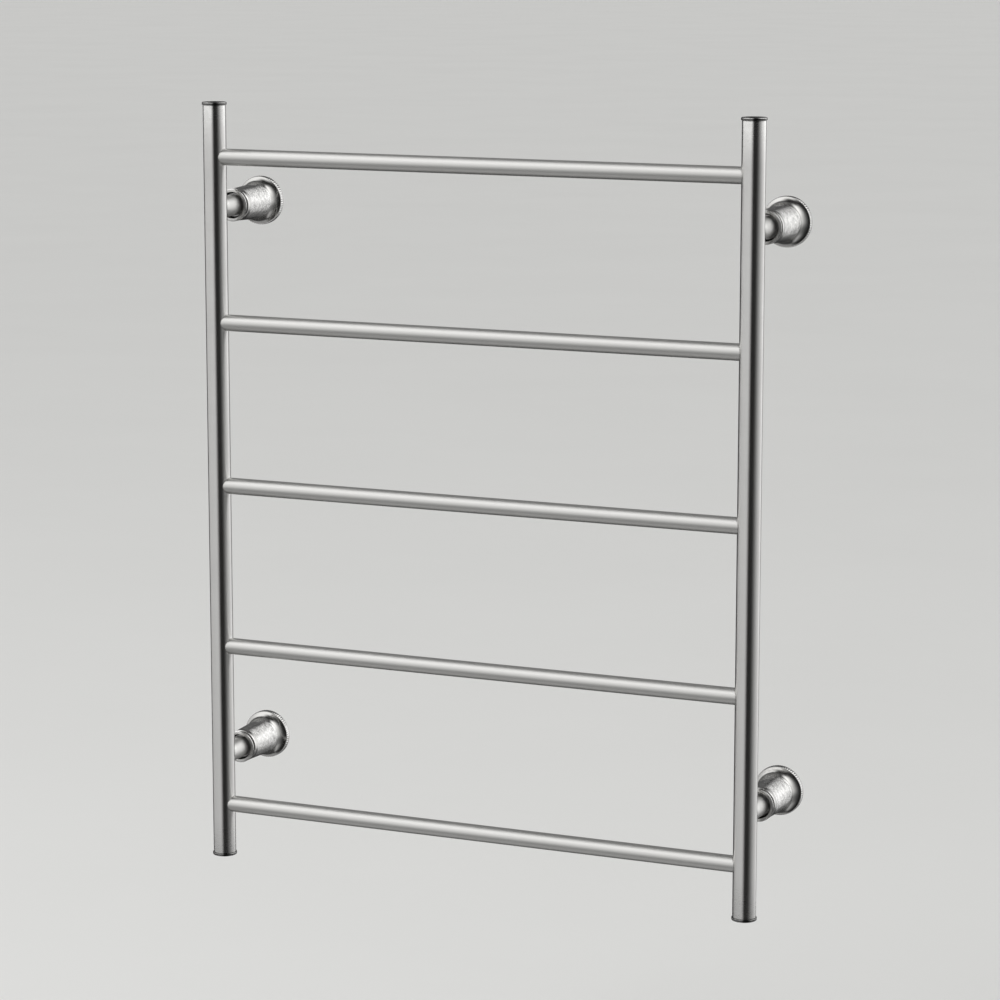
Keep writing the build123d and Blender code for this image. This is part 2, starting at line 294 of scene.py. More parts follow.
def group_tree(name: str, inputs: dict[str, str], outputs: dict[str, str]) -> bpy.types.NodeTree:
    """Make an empty shader node group with named sockets.

    Args:
        name: The group's name.
        inputs: Socket name to short type, Float, Vector or Color.
        outputs: The same for the outputs.

    Returns:
        The group's node tree.
    """
    tree = bpy.data.node_groups.new(name, "ShaderNodeTree")
    for socket, kind in inputs.items():
        tree.interface.new_socket(socket, in_out="INPUT", socket_type=f"NodeSocket{kind}")
    for socket, kind in outputs.items():
        tree.interface.new_socket(socket, in_out="OUTPUT", socket_type=f"NodeSocket{kind}")
    return tree


class Effects:
    """Shader node groups that several finishes share."""

    @staticmethod
    def grain() -> bpy.types.NodeTree:
        """Fine satin grain around a tube: a height and a 0 to 1 streak mask."""
        name = "satin grain"
        if name in bpy.data.node_groups:
            return bpy.data.node_groups[name]
        tree = group_tree(
            name,
            {"Lines per m": "Float", "Lines per m around": "Float"},
            {"Height": "Float", "Streak": "Float"},
        )
        source = node_of(tree, "NodeGroupInput")
        sink = node_of(tree, "NodeGroupOutput")
        uv = node_of(tree, "ShaderNodeUVMap", uv_map=GRAIN_UV)
        parts = node_of(tree, "ShaderNodeSeparateXYZ")
        tree.links.new(uv.outputs[0], parts.inputs[0])
        fine = node_of(tree, "ShaderNodeCombineXYZ")
        tree.links.new(math_of(tree, "MULTIPLY", parts.outputs[0], source.outputs[0]), fine.inputs[0])
        tree.links.new(math_of(tree, "MULTIPLY", parts.outputs[1], source.outputs[1]), fine.inputs[1])
        scratches = node_of(tree, "ShaderNodeTexNoise", noise_dimensions="2D")
        scratches.inputs["Scale"].default_value = 1.0
        scratches.inputs["Detail"].default_value = 3.0
        scratches.inputs["Roughness"].default_value = 0.65
        tree.links.new(fine.outputs[0], scratches.inputs["Vector"])
        broad = node_of(tree, "ShaderNodeCombineXYZ")
        tree.links.new(math_of(tree, "MULTIPLY", fine.inputs[0].links[0].from_socket, 0.07), broad.inputs[0])
        tree.links.new(math_of(tree, "MULTIPLY", fine.inputs[1].links[0].from_socket, 0.35), broad.inputs[1])
        bands = node_of(tree, "ShaderNodeTexNoise", noise_dimensions="2D")
        bands.inputs["Scale"].default_value = 1.0
        bands.inputs["Detail"].default_value = 2.0
        tree.links.new(broad.outputs[0], bands.inputs["Vector"])
        streak = math_of(tree, "MULTIPLY", scratches.outputs[0], math_of(tree, "ADD", bands.outputs[0], 0.5))
        tree.links.new(scratches.outputs[0], sink.inputs[0])
        tree.links.new(streak, sink.inputs[1])
        return tree

    @staticmethod
    def handling() -> bpy.types.NodeTree:
        """Soft cloudy marks of use, 0 to 1, read in object space."""
        name = "handling marks"
        if name in bpy.data.node_groups:
            return bpy.data.node_groups[name]
        tree = group_tree(name, {"Size": "Float"}, {"Mask": "Float"})
        source = node_of(tree, "NodeGroupInput")
        sink = node_of(tree, "NodeGroupOutput")
        coords = node_of(tree, "ShaderNodeTexCoord")
        scaled = node_of(tree, "ShaderNodeVectorMath", operation="SCALE")
        tree.links.new(coords.outputs["Object"], scaled.inputs[0])
        tree.links.new(math_of(tree, "DIVIDE", 1.0, source.outputs[0]), scaled.inputs["Scale"])
        clouds = node_of(tree, "ShaderNodeTexNoise")
        clouds.inputs["Scale"].default_value = 1.0
        clouds.inputs["Detail"].default_value = 4.0
        clouds.inputs["Roughness"].default_value = 0.55
        tree.links.new(scaled.outputs[0], clouds.inputs["Vector"])
        spread = node_of(tree, "ShaderNodeMapRange")
        spread.inputs["From Min"].default_value = 0.35
        spread.inputs["From Max"].default_value = 0.7
        tree.links.new(clouds.outputs[0], spread.inputs["Value"])
        tree.links.new(spread.outputs[0], sink.inputs[0])
        return tree

    @staticmethod
    def edge_wear() -> bpy.types.NodeTree:
        """Patchy rubbing along outer edges, 0 to 1."""
        name = "edge wear"
        if name in bpy.data.node_groups:
            return bpy.data.node_groups[name]
        tree = group_tree(name, {"Size": "Float"}, {"Worn": "Float"})
        source = node_of(tree, "NodeGroupInput")
        sink = node_of(tree, "NodeGroupOutput")
        edge = node_of(tree, "ShaderNodeAttribute", attribute_name=WEAR)
        patches = node_of(tree, "ShaderNodeGroup", node_tree=Effects.handling())
        tree.links.new(source.outputs[0], patches.inputs[0])
        kept = math_of(tree, "MULTIPLY_ADD", patches.outputs[0], -0.6, 1.0)
        tree.links.new(math_of(tree, "MULTIPLY", edge.outputs["Fac"], kept), sink.inputs[0])
        return tree


@dataclass(frozen=True)
class SatinSteel:
    """Satin stainless steel with grain around the piece.

    Attributes:
        name: The material's name.
        colour: Metal colour, linear.
        roughness: Mean roughness.
        anisotropy: How far highlights stretch along the piece.
        lines: Grain lines per metre along the piece.
        grain_height: Depth of the grain, in metres.
        grime: How far valleys and marks darken the metal, 0 to 1.
        recess_shade: How far the crest attribute paints shade into valleys and recesses, 0 to 1.
        grime_and_shade_tone: Brightness of soiled metal and of painted shade over that of clean metal.
    """

    name: str
    colour: tuple[float, float, float] = (0.7, 0.695, 0.68)
    roughness: float = 0.24
    anisotropy: float = 0.6
    lines: float = 5200.0
    grain_height: float = 4e-6
    grime: float = 0.1
    # Painted shade: strength of the dark tone in recesses, grooves and valleys.
    recess_shade: float = 0.0
    # One tone for grime and for the painted shade.
    grime_and_shade_tone: float = 0.55

    def material(self) -> bpy.types.Material:
        """Build the material, or return it if it exists."""
        if self.name in bpy.data.materials:
            return bpy.data.materials[self.name]
        material = bpy.data.materials.new(self.name)
        material.use_nodes = True
        tree = material.node_tree
        shader = tree.nodes["Principled BSDF"]
        shader.inputs["Metallic"].default_value = 1.0
        shader.inputs["Anisotropic"].default_value = self.anisotropy
        grain = node_of(tree, "ShaderNodeGroup", node_tree=Effects.grain())
        grain.inputs[0].default_value = self.lines
        grain.inputs[1].default_value = self.lines * 0.02
        marks = node_of(tree, "ShaderNodeGroup", node_tree=Effects.handling())
        marks.inputs[0].default_value = 0.035
        tangent = node_of(tree, "ShaderNodeTangent", direction_type="UV_MAP", uv_map=GRAIN_UV)
        tree.links.new(tangent.outputs[0], shader.inputs["Tangent"])
        wear = node_of(tree, "ShaderNodeGroup", node_tree=Effects.edge_wear())
        wear.inputs[0].default_value = 0.004
        self._colour(tree, shader, grain, marks, wear)
        streak = math_of(tree, "MULTIPLY", math_of(tree, "SUBTRACT", grain.outputs["Streak"], 0.5), 0.1)
        smudge = math_of(tree, "MULTIPLY", marks.outputs[0], 0.05)
        rough = math_of(tree, "ADD", math_of(tree, "ADD", streak, smudge), self.roughness)
        rough = math_of(tree, "MULTIPLY_ADD", wear.outputs[0], -0.08, rough)
        tree.links.new(rough, shader.inputs["Roughness"])
        bump = node_of(tree, "ShaderNodeBump")
        bump.inputs["Strength"].default_value = 0.2
        bump.inputs["Distance"].default_value = self.grain_height
        tree.links.new(grain.outputs["Height"], bump.inputs["Height"])
        tree.links.new(bump.outputs[0], shader.inputs["Normal"])
        return material

    def _colour(
        self,
        tree: bpy.types.NodeTree,
        shader: bpy.types.Node,
        grain: bpy.types.Node,
        marks: bpy.types.Node,
        wear: bpy.types.Node,
    ) -> None:
        """Mix the base colour from the clean metal, its streaks, its grime, its painted shade and its bright edges.

        Args:
            tree: The material's node tree.
            shader: The Principled shader.
            grain: The grain group node.
            marks: The handling marks group node.
            wear: The edge wear group node.
        """
        # The dark tone serves both the grime and the painted shade.
        grime_and_shade_tone = tuple(channel * self.grime_and_shade_tone for channel in self.colour)
        mix = node_of(tree, "ShaderNodeMix", data_type="RGBA")
        mix.inputs["A"].default_value = (*self.colour, 1.0)
        mix.inputs["B"].default_value = (*grime_and_shade_tone, 1.0)
        soiled = math_of(tree, "MULTIPLY", marks.outputs[0], self.grime)
        grime_and_shade = math_of(tree, "MULTIPLY_ADD", grain.outputs["Streak"], self.grime, soiled)
        # Painted shade: low crest values in recesses, grooves and valleys pull the colour to the dark tone.
        if self.recess_shade:
            crest = node_of(tree, "ShaderNodeAttribute", attribute_name=CREST)
            valley = math_of(tree, "SUBTRACT", 1.0, crest.outputs["Fac"])
            grime_and_shade = math_of(tree, "MULTIPLY_ADD", valley, self.recess_shade, grime_and_shade)
        tree.links.new(grime_and_shade, mix.inputs["Factor"])
        rubbed = node_of(tree, "ShaderNodeMix", data_type="RGBA")
        tree.links.new(mix.outputs["Result"], rubbed.inputs["A"])
        rubbed.inputs["B"].default_value = (0.86, 0.855, 0.84, 1.0)
        tree.links.new(math_of(tree, "MULTIPLY", wear.outputs[0], 0.8), rubbed.inputs["Factor"])
        tree.links.new(rubbed.outputs["Result"], shader.inputs["Base Color"])


@dataclass(frozen=True)
class Plain:
    """A non-metal or rough inner finish with mottled colour and fine bump.

    Attributes:
        name: The material's name.
        colour: Base colour, linear.
        roughness: Mean roughness.
        metallic: 1 for bare metal.
        speck: Size of the mottling, in metres.
        variation: How far the mottling changes the colour.
    """

    name: str
    colour: tuple[float, float, float]
    roughness: float = 0.6
    metallic: float = 0.0
    speck: float = 0.0015
    variation: float = 0.2

    def material(self) -> bpy.types.Material:
        """Build the material, or return it if it exists."""
        if self.name in bpy.data.materials:
            return bpy.data.materials[self.name]
        material = bpy.data.materials.new(self.name)
        material.use_nodes = True
        tree = material.node_tree
        shader = tree.nodes["Principled BSDF"]
        shader.inputs["Metallic"].default_value = self.metallic
        marks = node_of(tree, "ShaderNodeGroup", node_tree=Effects.handling())
        marks.inputs[0].default_value = self.speck
        shade = tuple(channel * (1.0 - self.variation) for channel in self.colour)
        mix = node_of(tree, "ShaderNodeMix", data_type="RGBA")
        mix.inputs["A"].default_value = (*self.colour, 1.0)
        mix.inputs["B"].default_value = (*shade, 1.0)
        tree.links.new(marks.outputs[0], mix.inputs["Factor"])
        tree.links.new(mix.outputs["Result"], shader.inputs["Base Color"])
        rough = math_of(tree, "MULTIPLY_ADD", marks.outputs[0], 0.12, self.roughness)
        tree.links.new(rough, shader.inputs["Roughness"])
        bump = node_of(tree, "ShaderNodeBump")
        bump.inputs["Strength"].default_value = 0.3
        bump.inputs["Distance"].default_value = 2e-5
        tree.links.new(marks.outputs[0], bump.inputs["Height"])
        tree.links.new(bump.outputs[0], shader.inputs["Normal"])
        return material


# ---------------------------------------------------------------- shaping
def closed_ring(knots: Iterable[Knot], steps: int = 5) -> list[Vector]:
    """Outline of a ring's section, closed by repeating its first point.

    Args:
        knots: Corners of the section in order; the first is left sharp.
        steps: Segments in each rounded corner.

    Returns:
        Points in the XZ plane, the last equal to the first.
    """
    corners = list(knots)
    return outline(corners + [corners[0]], steps)


def scratch_object(name: str, mesh: bmesh.types.BMesh) -> bpy.types.Object:
    """Turn a bmesh into a linked object and free it.

    Args:
        name: The object's name.
        mesh: The shape; it is freed.

    Returns:
        The new object.
    """
    data = bpy.data.meshes.new(name)
    mesh.to_mesh(data)
    mesh.free()
    thing = bpy.data.objects.new(name, data)
    bpy.context.scene.collection.objects.link(thing)
    return thing


@dataclass(frozen=True)
class Drill:
    """A round hole to drill: where it starts, which way it goes, its radius and its depth."""

    start: Vector
    direction: Vector
    radius: float
    depth: float

    def cutter(self) -> bmesh.types.BMesh:
        """The cylinder that the hole takes away."""
        mesh = bmesh.new()
        bmesh.ops.create_cone(
            mesh,
            cap_ends=True,
            segments=64,
            radius1=self.radius,
            radius2=self.radius,
            depth=self.depth,
        )
        turn = Vector((0, 0, 1)).rotation_difference(self.direction).to_matrix().to_4x4()
        middle = self.start + self.direction.normalized() * (self.depth / 2)
        bmesh.ops.transform(mesh, matrix=Matrix.Translation(middle) @ turn, verts=mesh.verts[:])
        return mesh


def drilled(mesh: bmesh.types.BMesh, drills: list[Drill]) -> bmesh.types.BMesh:
    """Drill holes through a closed shape.

    Args:
        mesh: The shape; it is freed.
        drills: The holes.

    Returns:
        A new bmesh with the holes cut and doubles merged.
    """
    bmesh.ops.recalc_face_normals(mesh, faces=mesh.faces[:])
    blank = scratch_object("blank", mesh)
    cutters = []
    for drill in drills:
        cutter = scratch_object("cutter", drill.cutter())
        cutters.append(cutter)
        cut = blank.modifiers.new("hole", "BOOLEAN")
        cut.operation = "DIFFERENCE"
        cut.solver = "EXACT"
        cut.object = cutter
    graph = bpy.context.evaluated_depsgraph_get()
    cut_data = bpy.data.meshes.new_from_object(blank.evaluated_get(graph))
    result = bmesh.new()
    result.from_mesh(cut_data)
    bpy.data.meshes.remove(cut_data)
    for thing in [blank, *cutters]:
        data = thing.data
        bpy.data.objects.remove(thing)
        bpy.data.meshes.remove(data)
    bmesh.ops.remove_doubles(result, verts=result.verts[:], dist=1e-7)
    return result


def saddle_rise(offset: float, radius: float) -> float:
    """How far a round tube's surface falls away at an offset from its crown."""
    return radius - math.sqrt(radius * radius - offset * offset)


# ---------------------------------------------------------------- finishes in use
POLISHED_TUBE = SatinSteel("satin_tube_steel", roughness=0.3, anisotropy=1.0)
RUNG_STEEL = SatinSteel("rung_steel", roughness=0.25, anisotropy=0.89)
# Painted shade: the near-black tone fills the collar's recess and its groove before the cover.
TURNED_STEEL = SatinSteel(
    "turned_steel", roughness=0.28, anisotropy=0.9, lines=6500.0, recess_shade=1.0, grime_and_shade_tone=0.06
)
# Painted shade: the knurl's valleys and the rim by the wall are darkened through the crest values.
KNURLED_STEEL = SatinSteel(
    "knurled_steel", (0.54, 0.535, 0.52), 0.2, anisotropy=0.0, grime=0.12, recess_shade=0.8, grime_and_shade_tone=0.4
)
ARM_STEEL = SatinSteel("arm_steel", roughness=0.2, anisotropy=0.8, lines=6000.0)
BASE_METAL = Plain("cast_base_metal", (0.46, 0.46, 0.45), 0.42, 1.0, 0.002, 0.25)
SPRING_STEEL = Plain("blued_spring_steel", (0.16, 0.165, 0.18), 0.38, 1.0, 0.003, 0.3)
SCREW_STEEL = Plain("blackened_screw_steel", (0.12, 0.12, 0.125), 0.42, 1.0, 0.001, 0.3)
SEAL_RUBBER = Plain("seal_rubber", (0.018, 0.018, 0.019), 0.62, 0.0, 0.002, 0.3)
CABLE_SILICONE = Plain("cable_silicone", (0.42, 0.05, 0.035), 0.5, 0.0, 0.006, 0.18)
GUIDE_SILICONE = Plain("guide_silicone", (0.62, 0.61, 0.58), 0.55, 0.0, 0.004, 0.12)
CERAMIC = Plain("glazed_ceramic", (0.78, 0.75, 0.68), 0.32, 0.0, 0.003, 0.1)
BRASS = Plain("terminal_brass", (0.72, 0.5, 0.2), 0.3, 1.0, 0.002, 0.25)
CUTOUT_CASE = Plain("cutout_case", (0.5, 0.5, 0.5), 0.35, 1.0, 0.003, 0.2)


# ---------------------------------------------------------------- the rack
@dataclass
class Posts:
    """Two upright posts with side holes for the rungs and a wire hole.

    Attributes:
        radius: Outer radius of a post tube, in millimetres.
        bore: Inner radius.
        half_length: Half the tube's length.
        edge: Round on the tube's ends.
        steps: Segments around.
    """

    radius: float = 11.1
    bore: float = 9.9
    half_length: float = 370.5
    edge: float = 0.2
    rung_hole: float = 8.05
    wire_hole: float = 6.0
    steps: int = 144

    def build(self, rung_levels: list[float], wire_level: float) -> None:
        """Build both posts.

        Args:
            rung_levels: Heights of the rung axes, in millimetres.
            wire_level: Height of the wire hole in the wired post.
        """
        for side, label in ((-1, "left"), (1, "right")):
            low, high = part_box(f"post_{label}")
            middle = (low + high) / 2
            mesh = self._blank(rung_levels)
            drills = [
                Drill(Vector((0, 0, level)) * MM, Vector((-side, 0, 0)), self.rung_hole * MM, 20 * MM)
                for level in rung_levels
            ]
            if side > 0:
                wire = Vector((0, 0, wire_level)) * MM
                drills.append(Drill(wire, Vector((0, 1, 0)), self.wire_hole * MM, 20 * MM))
            mesh = drilled(mesh, drills)
            write_grain_uv(mesh, self.radius * MM)
            piece = Piece(f"post_tube_{label}", "rack", "post_steel", (f"post_{label}",))
            piece.finish(mesh, Matrix.Translation(middle), POLISHED_TUBE.material())

    def _blank(self, rung_levels: list[float]) -> bmesh.types.BMesh:
        """The post tube before its holes, with short rows where each hole will come."""
        margin = self.rung_hole + 1.5
        rows = sorted({level + sign * margin for level in rung_levels for sign in (-1, 1)})
        knots = [Knot(self.bore, -self.half_length), Knot(self.radius, -self.half_length, self.edge)]
        knots += [Knot(self.radius, row) for row in rows]
        knots += [Knot(self.radius, self.half_length, self.edge), Knot(self.bore, self.half_length)]
        knots += [Knot(self.bore, row) for row in reversed(rows)]
        scaled = [Knot(knot.radius * MM, knot.height * MM, knot.round * MM) for knot in knots]
        return spun(closed_ring(scaled, 3), self.steps)


@dataclass
class Rungs:
    """Five rungs whose ends pass through the posts' side holes, with a fine brazed seam.

    Attributes:
        radius: Outer radius of a rung, in millimetres.
        bore: Inner radius.
        seam_depth: Depth of the fine groove at the post's surface.
        seam_width: Its width along the rung.
        tuck: How far the rung runs into the hole.
    """

    radius: float = 8.0
    bore: float = 6.8
    seam_depth: float = 0.3
    seam_width: float = 0.5
    tuck: float = 1.1
    shoulder: float = 0.7
    steps: int = 112

    def build(self, count: int, posts: Posts) -> None:
        """Build the rungs between the posts.

        Args:
            count: How many rungs.
            posts: The posts they are let into.
        """
        left = sum(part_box("post_left"), Vector()) / 2
        right = sum(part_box("post_right"), Vector()) / 2
        half = (right.x - left.x) / 2 / MM
        for number in range(1, count + 1):
            low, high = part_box(f"rung_{number}")
            middle = (low + high) / 2
            mesh = self._tube(half - posts.radius)
            for vert in mesh.verts:
                reach = abs(vert.co.z) / MM
                if reach > half - posts.radius - 6.0:
                    rise = saddle_rise(vert.co.y / MM, posts.radius)
                    blend = min(1.0, (reach - (half - posts.radius - 6.0)) / 4.0)
                    vert.co.z += math.copysign(rise * blend * MM, vert.co.z)
            write_grain_uv(mesh, self.radius * MM)
            piece = Piece(f"rung_tube_{number}", "rack", "rung_steel", (f"rung_{number}",))
            piece.finish(mesh, Along.X.matrix(middle), RUNG_STEEL.material())

    def _tube(self, face_at: float) -> bmesh.types.BMesh:
        """A rung tube before its ends are coped.

        Args:
            face_at: Distance from the middle to the post's crown, in millimetres.
        """
        groove = self.radius - self.seam_depth
        end = face_at + self.tuck
        side = [
            Knot(self.radius, face_at - 6.0),
            Knot(self.radius, face_at - 4.0),
            Knot(self.radius, face_at - 2.0),
            Knot(self.radius, face_at - self.seam_width, self.shoulder * 0.5),
            Knot(groove, face_at - 0.1),
            Knot(groove, face_at + 0.15),
            Knot(self.radius, face_at + self.seam_width),
            Knot(self.radius, end),
        ]
        lower = [Knot(knot.radius, -knot.height, knot.round) for knot in reversed(side)]
        inner = [Knot(self.bore, end), Knot(self.bore, face_at - 6.0)]
        inner += [Knot(self.bore, -face_at + 6.0), Knot(self.bore, -end)]
        knots = lower + side + inner
        scaled = [Knot(knot.radius * MM, knot.height * MM, knot.round * MM) for knot in knots]
        return spun(closed_ring(scaled, 4), self.steps)


@dataclass
class EndCaps:
    """Four turned caps that close the posts' ends.

    Attributes:
        lip: Radius of the lip, in millimetres.
        height: Height of the lip's top over the tube's end.
        edge: Round of the lip's outer edge.
        under_edge: Round of its lower edge.
        gap: Height of the shadow gap.
        neck: Radius in the gap.
        plug: Radius of the plug in the tube.
        plug_length: Length of the plug.
    """

    lip: float = 11.9
    height: float = 3.0
    edge: float = 0.9
    under_edge: float = 0.3
    gap: float = 0.4
    neck: float = 10.6
    plug: float = 9.85
    plug_length: float = 9.0
    steps: int = 128

    def build(self) -> None:
        """Build the four caps on the posts' ends."""
        for corner in Corner:
            side, level = corner.value
            post = "post_left" if side < 0 else "post_right"
            low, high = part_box(post)
            middle = (low + high) / 2
            seat = Vector((middle.x, middle.y, high.z if level > 0 else low.z))
            place = Matrix.Translation(seat) @ Matrix.Diagonal((1, 1, level, 1))
            mesh = self._cap()
            write_grain_uv(mesh, self.lip * MM)
            node = f"end_cap_{corner.label}"
            piece = Piece(f"cap_{corner.label}", "rack", "cap_steel", (node,))
            piece.finish(mesh, place, TURNED_STEEL.material())

    def _cap(self) -> bmesh.types.BMesh:
        """A cap drawn with its seat on the tube's end at height 0."""
        knots = [
            Knot(0.0, -self.plug_length),
            Knot(self.plug - 0.6, -self.plug_length),
            Knot(self.plug, -self.plug_length + 1.5),
            Knot(self.plug, 0.0),
            Knot(self.neck, 0.0),
            Knot(self.neck, self.gap),
            Knot(self.lip, self.gap, self.under_edge),
            Knot(self.lip, self.height, self.edge),
            Knot(self.lip * 0.55, self.height),
            Knot(0.0, self.height),
        ]
        scaled = [Knot(knot.radius * MM, knot.height * MM, knot.round * MM) for knot in knots]
        return spun(outline(scaled, 6), self.steps)


# ---------------------------------------------------------------- wall brackets
@dataclass
class Bracket:
    """One corner's arm, collar and knurled cover; sizes in millimetres from the post's axis.

    Attributes:
        corner: Which corner it stands at.
        arm: Radius of the arm.
        arm_bore: Its bore radius.
        arm_end: Where the arm ends, towards the wall.
        collar_front: Front face of the collar.
        collar: Radius of the collar.
        collar_back: Back of the collar's lip, where the groove before the cover starts.
        cover_front: Front face of the cover.
        band: Radius of the smooth band at the cover's front.
        band_end: Where the knurled barrel starts.
        barrel: Radius of the barrel at the flare, over the knurl's crests.
        flare_start: Where the flare starts.
        flare: Radius at the flare's foot.
        rim: Radius of the rim.
        rim_at: Front face of the rim.
        wall_at: The wall.
    """

    corner: Corner
    arm: float = 10.25
    arm_bore: float = 8.0
    arm_end: float = 89.5
    collar_front: float = 32.4
    collar: float = 15.89
    collar_back: float = 33.8
    cover_front: float = 36.9
    band: float = 15.88
    band_end: float = 42.4
    barrel: float = 17.48
    flare_start: float = 81.0
    flare: float = 23.18
    rim: float = 23.98
    rim_at: float = 90.4
    wall_at: float = 96.0
    knurl_teeth: int = 68
    knurl_depth: float = 0.17
    rim_tooth: float = 0.45
    post_radius: float = 11.1

    def place(self) -> Matrix:
        """Matrix that takes a shape drawn along +Z from the post's axis to this bracket."""
        low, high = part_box(f"arm_{self.corner.label}")
        middle = (low + high) / 2
        post_low, post_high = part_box("post_left" if self.corner.value[0] < 0 else "post_right")
        axis_y = (post_low.y + post_high.y) / 2
        return Along.Y.matrix(Vector((middle.x, axis_y, middle.z)))

    def build(self) -> None:
        """Build the bracket's pieces and bind them to their bodies."""
        self._build_arm()
        self._build_collar()
        self._build_cover()

    def _build_arm(self) -> None:
        """The hollow arm, coped to the rear of the post, with its screw hole underneath."""
        label = self.corner.label
        knots = [
            Knot(self.arm_bore, 0.0),
            Knot(self.arm, 0.0, 0.25),
            Knot(self.arm, 12.0),
            Knot(self.arm, 30.0),
            Knot(self.arm, 78.0),
            Knot(self.arm, self.arm_end, 0.3),
            Knot(self.arm_bore, self.arm_end),
            Knot(self.arm_bore, 78.0),
            Knot(self.arm_bore, 12.0),
        ]
        scaled = [Knot(knot.radius * MM, knot.height * MM, knot.round * MM) for knot in knots]
        mesh = spun(closed_ring(scaled, 3), 112)
        seat = self.post_radius + 0.05
        for vert in mesh.verts:
            if vert.co.z < 2.0 * MM:
                fall = seat - saddle_rise(vert.co.x / MM, seat)
                vert.co.z += fall * MM
        screw = Drill(Vector((0, 0, 84.0)) * MM, Vector((0, 1, 0)), 2.6 * MM, 20 * MM)
        mesh = drilled(mesh, [screw])
        write_grain_uv(mesh, self.arm * MM)
        piece = Piece(f"bracket_arm_{label}", "rack", "arm_steel", (f"arm_{label}",))
        piece.finish(mesh, self.place(), ARM_STEEL.material())

    def _build_collar(self) -> None:
        """The front collar: a rounded lip round a recess painted dark as shade, a step and a neck."""
        label = self.corner.label
        knots = [
            Knot(10.33, 37.2),
            Knot(11.59, 37.2),
            Knot(12.79, 36.0),
            Knot(12.79, self.collar_front, 0.6),
            Knot(self.collar, self.collar_front, 0.8),
            Knot(self.collar, self.collar_back, 0.3),
            Knot(14.59, self.collar_back),
            Knot(14.59, self.cover_front - 0.08),
            Knot(13.54, self.cover_front - 0.08),
            Knot(13.54, 44.28),
            Knot(12.74, 44.28),
            Knot(12.74, 45.53),
            Knot(13.54, 45.53),
            Knot(13.54, 47.9, 0.2),
            Knot(10.33, 47.9),
            Knot(10.33, 41.8),
            Knot(12.54, 41.8),
            Knot(12.54, 39.4),
            Knot(10.33, 39.4),
        ]
        scaled = [Knot(knot.radius * MM, knot.height * MM, knot.round * MM) for knot in knots]
        mesh = spun(closed_ring(scaled, 5), 128)
        crest = mesh.verts.layers.float.new(CREST)
        for vert in mesh.verts:
            out = math.hypot(vert.co.x, vert.co.y) / MM
            height = vert.co.z / MM
            in_groove = out < 15.0 and self.collar_back - 0.05 < height < self.cover_front
            # Painted shade: the recess inside the lip and the groove before the cover get crest 0.
            vert[crest] = 0.0 if out < 12.9 or in_groove else 1.0
        write_grain_uv(mesh, self.collar * MM)
        piece = Piece(f"front_collar_{label}", f"carrier_{label}", "collar_steel", (f"collar_{label}",))
        piece.finish(mesh, self.place(), TURNED_STEEL.material())

    def _build_cover(self) -> None:
        """The cover: knurled barrel, smooth coved flare and a straight-toothed rim."""
        label = self.corner.label
        mesh = spun([point * MM for point in self._cover_section()], 2 * self.knurl_teeth)
        crest = mesh.verts.layers.float.new(CREST)
        self._knurl(mesh, crest)
        write_grain_uv(mesh, self.barrel * MM)
        piece = Piece(
            f"knurled_cover_{label}", f"sleeve_{label}", "cover_steel", (f"cover_{label}",), 24.0
        )
        piece.finish(mesh, self.place(), KNURLED_STEEL.material())

    def _barrel_at(self, height: float) -> float:
        """Radius over the knurl's crests at a height between the band and the flare."""
        share = (height - self.band_end) / (self.flare_start - self.band_end)
        return self.band + (self.barrel - self.band) * share

    def _rows(self) -> list[float]:
        """Heights of the knurl's rows, as tall as half a tooth is wide."""
        pitch = math.tau * self.barrel / (2 * self.knurl_teeth)
        run = self.flare_start - self.band_end
        count = 2 * round(run / pitch / 2)
        return [self.band_end + run * row / count for row in range(count + 1)]

    def _cover_section(self) -> list[Vector]:
        """The cover's closed section, its barrel divided into knurl rows."""
        section = [
            (13.62, self.cover_front),
            (15.2, self.cover_front),
            (15.42, self.cover_front + 0.07),
            (15.81, self.cover_front + 0.46),
            (self.band, self.cover_front + 0.68),
            (self.band, self.cover_front + 2.5),
            (self.band, self.band_end - 0.25),
        ]
        section += [(self._barrel_at(height), height) for height in self._rows()]
        section += self._cove()
        section += [
            (self.flare + 0.05, self.rim_at),
            (self.rim - 0.4, self.rim_at),
            (self.rim - 0.1, self.rim_at + 0.15),
            (self.rim, self.rim_at + 0.5),
            (self.rim, self.wall_at - 0.3),
            (self.rim - 0.3, self.wall_at),
            (21.38, self.wall_at),
            (21.38, self.rim_at + 1.2),
            (15.88, self.flare_start + 4.0),
            (14.68, 44.2),
            (13.62, 44.2),
            (13.62, self.cover_front),
        ]
        return [Vector((radius, 0, height)) for radius, height in section]

    def _cove(self) -> list[tuple[float, float]]:
        """Points along the cove that leaves the barrel tangentially for the flare's foot."""
        rise = self.flare - self.barrel
        run = self.rim_at - self.flare_start
        slope = math.atan2(self.barrel - self.band, self.flare_start - self.band_end)
        turn = math.atan2(rise, run) - slope
        radius = math.hypot(rise, run) / (2 * math.sin(turn))
        points = []
        for step in range(1, 13):
            lean = slope + 2 * turn * step / 12
            out = self.barrel + radius * (math.cos(slope) - math.cos(lean))
            points.append((out, self.flare_start + radius * (math.sin(lean) - math.sin(slope))))
        return points

    def _knurl(self, mesh: bmesh.types.BMesh, crest: bmesh.types.BMLayerItem) -> None:
        """Press a diamond knurl into the barrel and straight teeth into the rim.

        Args:
            mesh: The spun cover, drawn along +Z.
            crest: Float layer that gets 1 on crests, 0 in valleys and 0.15 on the rim, so that the finish paints shade
                in the valleys and on the rim.
        """
        rows = self._rows()
        row_height = rows[1] - rows[0]
        half_tooth = math.tau / (2 * self.knurl_teeth)
        low_verts = set()
        for vert in mesh.verts:
            out = math.hypot(vert.co.x, vert.co.y) / MM
            height = vert.co.z / MM
